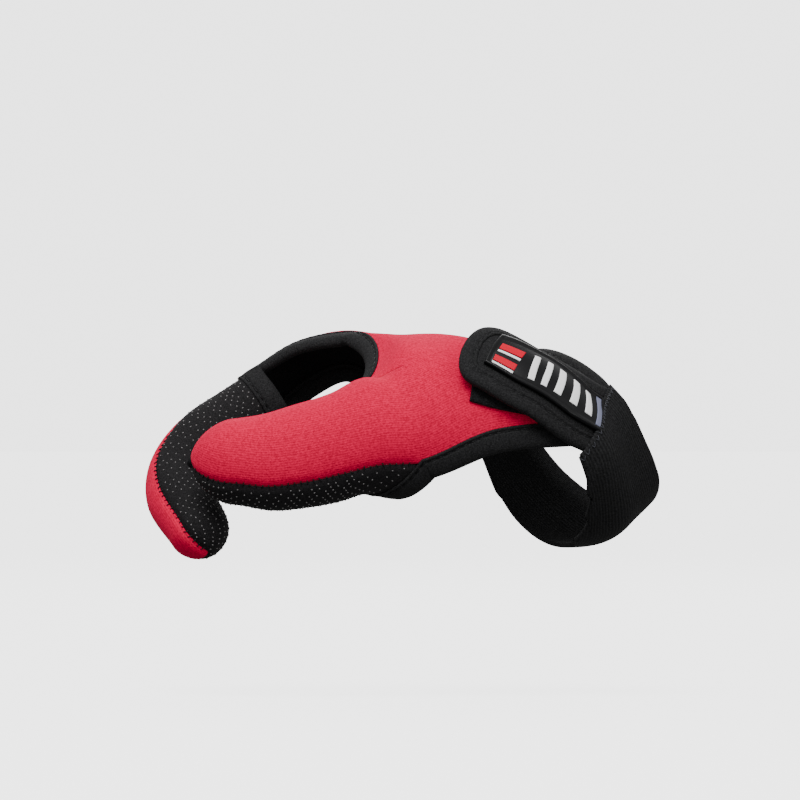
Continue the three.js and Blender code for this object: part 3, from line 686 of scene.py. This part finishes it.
def folded_tape(points, normals, width, thick, lip, mitre, narrow, lap=LAP):
    """Sweeps the profile beside an edge. Near each end it slants with the mitre"""
    ahead = level(np.gradient(points, axis=0), normals)
    ahead[0] = level(points[1] - points[0], normals[0])
    ahead[-1] = level(points[-1] - points[-2], normals[-1])
    out = np.cross(normals, ahead)
    length = run_lengths(points, 0)
    share = narrow(length, length[-1])
    q, h = tape_profile(width, thick, lip, lap).T
    q = q * share[:, None]
    start, stop = (slope * np.clip(1 - away / (abs(slope) * width * MITRE_REACH + 1e-6), 0, 1)
                   for slope, away in zip(mitre, (length, length[-1] - length)))
    slant = q * (start - stop)[:, None]
    wave = np.sin(2 * np.pi * length / (STITCH + STITCH_GAP))[:, None]
    pull = STITCH_PULL * wave * np.exp(-(q / 1.2) ** 2)
    h = h + pull * np.sign(h + thick / 2)
    grid = (points[:, None] + out[:, None] * q[..., None] + normals[:, None] * h[..., None]
            + ahead[:, None] * slant[..., None])
    girth = np.linalg.norm(np.diff(tape_profile(width, thick, lip, lap), axis=0), axis=1).cumsum()
    chart = np.stack(np.broadcast_arrays(np.concatenate([[0], girth])[None], length[:, None]), -1)
    caps = [np.stack([row, np.broadcast_to(row.mean(0), row.shape)]) for row in (grid[0], grid[-1])]
    flat = np.zeros(caps[0].shape[:2] + (2,))
    stitches = points + normals * (0.3 * lip / LIP)
    return [(grid, chart, 0), (caps[0], flat, 0), (caps[1], flat, 0)], (stitches, normals)


def stitch_line(name, points, normals, material, slot, radius=0.17):
    """Lock stitches: a short thread that rises from the cloth, lies flat and goes back in"""
    spots, tops, ahead = spaced(points, normals, STITCH + STITCH_GAP)
    reach = [(-0.5, -0.25), (-0.44, 0.0), (0.0, 0.06), (0.44, 0.0), (0.5, -0.25)]
    paths = np.stack([spots + ahead * STITCH * x + tops * h for x, h in reach], 1)
    return strands(name, paths, np.repeat(tops[:, None], 5, 1), radius, material, slot)


fine = 0.05
index_open = stations(SLEEVE, INDEX_MOUTH, fine)
thumb_round = np.linspace(0, 1 - THUMB_TURN, 110)
index_round = np.linspace(0, 1 - INDEX_TURN, 110)
BINDINGS = {
    "web_binding": (WEB_TAPE, joined(
        edge(web, SLEEVE, np.linspace(0.03, 1, 80)), edge(index, index_open, 0))),
    "index_binding": (INDEX_TAPE, joined(edge(index, INDEX_MOUTH, index_round))),
    "back_binding": (BACK_TAPE, joined(
        edge(index, stations(WRIST_EDGE, INDEX_MOUTH, fine)[::-1], 1))),
    "wrist_binding": (WRIST_TAPE, joined(
        edge(index, WRIST_EDGE, np.linspace(1, 0, 50)),
        edge(web, WRIST_EDGE, np.linspace(1, 0, 40)),
        edge(thumb, WRIST_EDGE, np.linspace(1, 0, 60)))),
    "thenar_binding": (THENAR_TAPE, joined(
        edge(thumb, stations(WRIST_EDGE, LAST, fine), 0),
        edge(thumb, thumb_mouth(thumb_round), thumb_round))),
}


def corner(before, after):
    """Half the turn between two tapes, as the slope of their mitre"""
    n = after[1][0]
    t1, t2 = level(before[0][-1] - before[0][-4], n), level(after[0][3] - after[0][0], n)
    side = np.sign(dot(np.cross(t1, t2), n))[0]
    return side * np.tan(np.arccos(min(1.0, float(dot(t1, t2)[0]))) / 2)


names = list(BINDINGS)
turns = [0 if name == "thenar_binding" else corner(BINDINGS[name][1], BINDINGS[following][1])
         for name, following in zip(names, names[1:] + names[:1])]
NARROW = {
    "web_binding": lambda s, total: mix(NOTCH_WIDTH / WEB_TAPE, 1, ease(s / 10)),
    "back_binding": lambda s, total: mix(CORNER_WIDTH / BACK_TAPE, 1, ease((total - s) / PINCH)),
    "wrist_binding": lambda s, total: mix(
        CORNER_WIDTH / WRIST_TAPE, 1, ease(np.minimum(s, total - s) / PINCH)),
    "thenar_binding": lambda s, total: np.minimum(
        mix(NOTCH_WIDTH / THENAR_TAPE, 1, ease((total - s) / PINCH)),
        mix(CORNER_WIDTH / THENAR_TAPE, 1, ease(s / PINCH))),
}
for k, (name, (width, (points, normals))) in enumerate(BINDINGS.items()):
    grids, line = folded_tape(points, normals, width, CLOTH, LIP, (turns[k - 1], turns[k]),
                              NARROW.get(name, lambda s, total: 1 + 0 * s))
    piece(name + "_tape", grids, [edge_tape], "edge_tape", [name], closed=True)
    stitch_line(name + "_stitches", *line, thread, "edge_tape")


# Wrist elastic: a 26 mm woven band with ribs along its length. It starts at the tab, goes
# round under the wrist and is sewn down on the far side of the back panel.
STRAP_RING = 1.2
STRAP_SWING = 0.4
STRAP_WIDTH = 25.6
STRAP_THICK = 1.6
STRAP_REST = 1.3
STRAP_JOINT = (0, -34)
STRAP_END = (-240, -231)
STRAP_SLACK = 3.0
STRAP_LAP = 9
JOINT_GAP = 3
STRAP_FALL = 36
STRAP_SEWN = 0.95
TAB_TOP = 4.35
hand = through([lambda turn, row=row: ring(row, np.degrees(turn)) for row in HAND])


def walk(at, turn, towards, distance):
    """Eight short straight steps over the hand's surface, kept on it by its two slopes"""
    e = 0.004
    heading = unit(towards)
    distance = np.asarray(distance, float)[..., None] / 8
    for _ in range(8):
        here = hand(at, turn)
        hs, ht = (hand(at + e, turn) - here) / e, (hand(at, turn + e) - here) / e
        heading = level(heading, normal_at(hand, at, turn))
        ss, st, tt = dot(hs, hs), dot(hs, ht), dot(ht, ht)
        sh, th = dot(hs, heading), dot(ht, heading)
        size = distance / (ss * tt - st * st)
        at = at + ((tt * sh - st * th) * size)[..., 0]
        turn = turn + ((ss * th - st * sh) * size)[..., 0]
    return hand(at, turn), normal_at(hand, at, turn)


def stops(count, edge_share):
    """0 to 1 with extra places near both ends, for a rounded edge"""
    near = edge_share * np.array([0, 0.05, 0.2, 0.45, 0.75])
    return np.concatenate([near, np.linspace(edge_share, 1 - edge_share, count), 1 - near[::-1]])


def slab(name, points, normals, floor, top, rounding, material, slot, nodes=(), raise_top=None):
    """A sheet with rounded edges: top and underside meet in a quarter-round rim.
    d is the distance to the nearest edge; the half thickness there is √(1 − (1 − d/r)²)"""
    low, start = run_lengths(points, 1), run_lengths(points, 0)
    d = np.minimum(np.minimum(low, low[:, -1:] - low), np.minimum(start, start[-1:] - start))
    swell = np.sqrt(np.clip(1 - (1 - np.clip(d / rounding, 0, 1)) ** 2, 0, 1))
    middle, half = (floor + top) / 2, (top - floor) / 2
    extra = 0 if raise_top is None else raise_top(d)
    up = middle + half * swell + extra * swell
    down = middle - half * swell
    chart = np.stack([low, start], -1)
    grids = [(points + normals * height[..., None], chart, 0) for height in (up, down)]
    return piece(name, grids, [material], slot, nodes, closed=True)


def strap_spot(turn, v):
    """The strap's middle line on the hand, and a step to each side along the hand's length"""
    joint = mix(STRAP_JOINT[0], STRAP_JOINT[1], v) - JOINT_GAP
    sewn_end = mix(STRAP_END[0], STRAP_END[1], v)
    share = np.clip((joint - turn) / (joint - sewn_end), 0, 1)
    along, turn = STRAP_RING + STRAP_SWING * np.sin(np.pi * share), np.radians(turn)
    run = hand(along + 0.1, turn) - hand(along, turn)
    return walk(along, turn, run, (2 * v - 1) * STRAP_WIDTH / 2)


# Woven elastic: covered rubber ribs 0.85 mm apart, crossed by fine yarn
elastic_weave, shader = finish("black woven elastic", 0x121213, 0.8, Specular_IOR_Level=0.15)
chart = node(elastic_weave, "ShaderNodeUVMap", uv_map="pattern").outputs["UV"]
apart = node(elastic_weave, "ShaderNodeSeparateXYZ", {0: chart})
spot = node(elastic_weave, "ShaderNodeTexCoord").outputs["Object"]
waver = node(elastic_weave, "ShaderNodeTexNoise", {"Vector": spot, "Scale": 150.0})
phase = node(elastic_weave, "ShaderNodeMath", {0: apart.outputs["X"], 1: 2 * np.pi / (0.85 * MM)},
             operation="MULTIPLY")
bent = node(elastic_weave, "ShaderNodeMath", {0: waver.outputs[0], 1: 2.5, 2: phase.outputs[0]},
            operation="MULTIPLY_ADD")
rib = node(elastic_weave, "ShaderNodeMath", {0: bent.outputs[0]}, operation="SINE")
yarn = node(elastic_weave, "ShaderNodeTexNoise", {"Vector": spot, "Scale": 1600.0, "Detail": 2.0})
raised = node(elastic_weave, "ShaderNodeMath", {0: rib.outputs[0], 1: 0.14, 2: yarn.outputs[0]},
              operation="MULTIPLY_ADD")
shade = node(elastic_weave, "ShaderNodeValToRGB", {0: raised.outputs[0]})
shade.color_ramp.elements[0].position = 0.3
shade.color_ramp.elements[0].color = linear(0x0B0B0C)
shade.color_ramp.elements[1].position = 0.85
shade.color_ramp.elements[1].color = linear(0x262627)
bump = node(elastic_weave, "ShaderNodeBump",
            {"Height": raised.outputs[0], "Strength": 0.7, "Distance": 0.3 * MM})
elastic_weave.node_tree.links.new(shade.outputs[0], shader.inputs["Base Color"])
elastic_weave.node_tree.links.new(bump.outputs[0], shader.inputs["Normal"])

u, v = np.meshgrid(stops(150, 0.01), stops(30, 0.05), indexing="ij")
joint = mix(STRAP_JOINT[0], STRAP_JOINT[1], v)
sewn_end = mix(STRAP_END[0], STRAP_END[1], v)
turn = mix(joint + STRAP_LAP, sewn_end, u)
points, normals = strap_spot(turn, v)
past_joint = joint - turn
share = np.clip((past_joint - JOINT_GAP) / (joint - JOINT_GAP - sewn_end), 0, 1)
slack = STRAP_REST + STRAP_SLACK * np.sin(np.pi * share)
rest = mix(TAB_TOP, slack, ease(past_joint / STRAP_FALL))
rest = mix(STRAP_SEWN, rest, ease((turn - sewn_end) / STRAP_FALL))
slab("elastic_strap_band", points, normals, rest, rest + STRAP_THICK, 0.7, elastic_weave, "elastic",
     ["elastic_strap"])


# A box of stitches with a cross in it holds the elastic's far end down on the back panel
BOX = [
    # degrees from the end, share of the width
    (1.5, 0.09), (1.5, 0.91), (13, 0.91), (13, 0.09),
    (1.5, 0.09), (13, 0.91), (13, 0.09), (1.5, 0.91),
]
box = np.array(BOX)
share = np.linspace(0, len(BOX) - 1, 40 * (len(BOX) - 1) + 1)
from_end, v = (np.interp(share, np.arange(len(BOX)), box[:, k]) for k in (0, 1))
points, normals = strap_spot(mix(STRAP_END[0], STRAP_END[1], v) + from_end, v)
level_up = mix(STRAP_SEWN, STRAP_REST, ease(from_end / STRAP_FALL)) + STRAP_THICK
stitch_line("strap_box_stitches", points + normals * level_up[:, None], normals, thread, "elastic")


# Loop and hook: a loop patch sewn on the back panel, and a hook patch on the tab's underside.
PATCH_THICK = 1.0
TAB_WIDTH = 22.4
TAB_LENGTH = 50
TAB_TAPE = 4.4
TAB_THICK = 2.4
TAB_LIP = 0.5
HOOK_REST = SEAM + PATCH_THICK + SEAM
TAB_REST = HOOK_REST + PATCH_THICK + SEAM
TAB_START_REST = STRAP_REST + 0.5
TAB_RISE = 0.24
LOOP_CORNERS = [(2.30, -4.5), (1.70, 20), (3.16, 13), (2.70, 38.5)]
TAB_LINE = [
    # place along the hand in rings, degrees round it
    (1.114, -13.8), (1.537, -2.6), (1.831, 10.2), (2.091, 19.3),
    (2.287, 28.5), (2.489, 36.2), (2.624, 40.1),
]
BODY_HALF = TAB_WIDTH / 2 - TAB_TAPE + SEAM
TIP_SHARE = BODY_HALF / TAB_LENGTH
BODY_END = 1 - TAB_TAPE / TAB_LENGTH
pile = grainy("black loop pile", 0x0A0A0B, 0x262628, 1.0, 0.55, 0.6)
tab_line = through([lambda w, row=row: np.array([row[0], np.radians(row[1]), 0.0])
                    for row in TAB_LINE])


def tab_spot(length, offset):
    """A place on the hand under the tab: a share of its middle line, and mm to the side"""
    length, offset = np.broadcast_arrays(np.asarray(length, float), np.asarray(offset, float))
    here = tab_line(length * (len(TAB_LINE) - 1), 0 * length)
    there = tab_line((length + 0.01) * (len(TAB_LINE) - 1), 0 * length)
    run = hand(there[..., 0], there[..., 1]) - hand(here[..., 0], here[..., 1])
    side = np.cross(run, normal_at(hand, here[..., 0], here[..., 1]))
    return walk(here[..., 0], here[..., 1], side, offset)


def tab_rest(length):
    return mix(TAB_START_REST, TAB_REST, ease(length / TAB_RISE))


u, v = np.meshgrid(stops(40, 0.06), stops(30, 0.08), indexing="ij")
low, high = (mix(np.array(LOOP_CORNERS[k]), np.array(LOOP_CORNERS[k + 1]), v[..., None])
             for k in (0, 2))
spot = mix(low, high, u[..., None])
at, turn = spot[..., 0], np.radians(spot[..., 1])
points, normals = hand(at, turn), normal_at(hand, at, turn)
rough = 0.1 * wander(points, 8, 0.8)
slab("loop_patch_pile", points, normals, -0.2 + 0 * u, SEAM + PATCH_THICK + rough, 0.6, pile,
     "hook_and_loop", ["loop_patch"])
u, v = np.meshgrid(stops(30, 0.06), stops(20, 0.08), indexing="ij")
points, normals = tab_spot(mix(0.3, 0.8, u), (2 * v - 1) * (BODY_HALF - 1))
floor_height, top_height = HOOK_REST + 0 * u, HOOK_REST + PATCH_THICK + 0.3 + 0 * u
slab("hook_patch_tape", points, normals, floor_height, top_height, 0.3, pile,
     "hook_and_loop", ["hook_patch"])


# Tab: a tongue of black foam-backed knit with a round end, bound all round with the same
# folded tape, and sewn to the elastic at its other end.
def body_half(length):
    """Half the body's width: straight, then a half circle"""
    x = np.clip((length - (BODY_END - TIP_SHARE)) / TIP_SHARE, 0, 1)
    return BODY_HALF * np.sqrt(np.maximum(0, 1 - (x * 0.975) ** 2))


def body_length(u):
    straight = BODY_END - TIP_SHARE
    return np.where(u < 0.62, mix(0.008, straight, u / 0.62),
                    straight + TIP_SHARE * np.sin(np.clip((u - 0.62) / 0.38, 0, 1) * np.pi / 2))


black_knit = grainy("black foam-backed knit", 0x0F0F10, 0x2A2A2B, 0.85, 0.45, 0.18)
u, v = np.meshgrid(np.linspace(0, 1, 90), stops(30, 0.08), indexing="ij")
length = body_length(u)
points, normals = tab_spot(length, (2 * v - 1) * body_half(length))
slab("strap_tab_knit", points, normals, tab_rest(length), tab_rest(length) + TAB_THICK, 0.8,
     black_knit, "black_knit", ["strap_tab"])

side = np.linspace(0, 1, 90)
parts = []
round_tip = 1 + 0 * side[:20], np.linspace(0, 1, 20)
for u, v in [(side, 0 * side), round_tip, (side[::-1], 1 + 0 * side)]:
    length = body_length(u)
    points, normals = tab_spot(length, (2 * v - 1) * body_half(length))
    parts.append((points + normals * (tab_rest(length) + TAB_THICK)[:, None], normals))
grids, line = folded_tape(*joined(*parts), TAB_TAPE, TAB_THICK, TAB_LIP, (0, 0),
                          lambda s, total: 1 + 0 * s)
piece("tab_binding_tape", grids, [edge_tape], "edge_tape", ["tab_binding"], closed=True)
stitch_line("tab_binding_stitches", *line, thread, "edge_tape")


# Label: a soft moulded rubber plate with a raised rim, fixed on the tab. Its print is
# plain: two red bars, a row of slanted white bars, a grey end strip. A thin white line
# beside each red bar is a painted highlight, in the white of the printed slats.
LABEL_FROM = 0.03
LABEL_TO = 0.76
LABEL_HALF = (6.0, 5.0)
LABEL_TOP = TAB_THICK + 1.3
rubber, shader = finish("black moulded rubber", 0x050507, 0.35, Specular_IOR_Level=0.22)
spot = node(rubber, "ShaderNodeTexCoord").outputs["Object"]
grain = node(rubber, "ShaderNodeTexNoise", {"Vector": spot, "Scale": 900.0, "Detail": 2.0})
bump = node(rubber, "ShaderNodeBump",
            {"Height": grain.outputs[0], "Strength": 0.15, "Distance": 0.1 * MM})
rubber.node_tree.links.new(bump.outputs[0], shader.inputs["Normal"])


def label_spot(t, s):
    """A place on the label: t from the joint's end to the tip's, s from -1 to 1 across"""
    half = mix(LABEL_HALF[0], LABEL_HALF[1], t)
    return tab_spot(mix(LABEL_FROM, LABEL_TO, t), 0.6 + s * half)


def label_patch(name, t, s, floor, top, rounding, material, nodes=(), lean=0.0, size=(24, 14),
                rim=None):
    """A plate on the label between two shares of its length and two of its width"""
    u, v = np.meshgrid(stops(size[0], 0.04), stops(size[1], 0.08), indexing="ij")
    across = mix(s[0], s[1], v)
    along = mix(t[0], t[1], u) + lean * across
    points, normals = label_spot(along, across)
    base = tab_rest(mix(LABEL_FROM, LABEL_TO, along))
    return slab(name, points, normals, base + floor, base + top, rounding, material,
                "moulded_rubber", nodes, rim)


label_patch("label_plate", (0, 1), (-1, 1), TAB_THICK - 0.2, LABEL_TOP, 0.5, rubber, ["label"],
            size=(60, 24), rim=lambda d: 0.5 * ease((1.1 - d) / 0.4))
# white of the printed slats, also used for the painted highlights beside the red bars
white_print_and_highlight, shader = finish("white moulded rubber print and painted highlight", 0xF2F2F2, 0.45)
red_ink, shader = finish("red moulded rubber", 0xC80028, 0.5, Specular_IOR_Level=0.1)
grey_ink, shader = finish("blue-grey moulded rubber", 0x6D7088, 0.45)
PRINT_FLOOR = LABEL_TOP - 0.3
PRINT_TOP = LABEL_TOP + 0.22
PRINT_EDGE = 0.15
BAR_ENDS = (0.72, 0.93)
SLAT_FIRST = 0.145
SLAT_PITCH = 0.108
SLAT_WIDTH = 0.05
for k, s in enumerate([(-0.62, -0.28), (0.1, 0.44)]):
    label_patch(f"label_bar_{k}", BAR_ENDS, s, PRINT_FLOOR, PRINT_TOP, PRINT_EDGE, red_ink,
                size=(12, 5))
    # painted highlight: a thin white strip beside each red bar, not print
    label_patch(f"label_painted_highlight_{k}", BAR_ENDS, (s[0] - 0.17, s[0] - 0.05), PRINT_FLOOR, PRINT_TOP,
                PRINT_EDGE, white_print_and_highlight, size=(12, 3))
for k in range(5):
    start = SLAT_FIRST + k * SLAT_PITCH
    label_patch(f"label_slat_{k}", (start, start + SLAT_WIDTH), (-0.64, 0.5), PRINT_FLOOR,
                PRINT_TOP, PRINT_EDGE, white_print_and_highlight, lean=0.03, size=(5, 12))
label_patch("label_end_strip", (0.035, 0.085), (-0.82, 0.82), PRINT_FLOOR, PRINT_TOP, PRINT_EDGE,
            grey_ink, size=(5, 16))


# Joint: a zigzag of shiny thread holds the elastic's folded start down on the tab
v = np.linspace(0.02, 0.98, 120)
swing = np.abs((np.linspace(0, 34, 120) % 2) - 1) - 0.5
turn = mix(STRAP_JOINT[0], STRAP_JOINT[1], v) + STRAP_LAP - 1.9 + swing * 3.4
points, normals = strap_spot(turn, v)
points = points + normals * (TAB_TOP + np.where(swing < 0.1, STRAP_THICK, 1.0) + 0.15)[:, None]
shiny, shader = finish("shiny dark thread", 0x26272E, 0.35)
strands("joint_zigzag", points[None], normals[None], 0.16, shiny, "elastic")

low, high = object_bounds()
{"cad": [list(cad_low), list(cad_high)], "visual": [list(low), list(high)]}
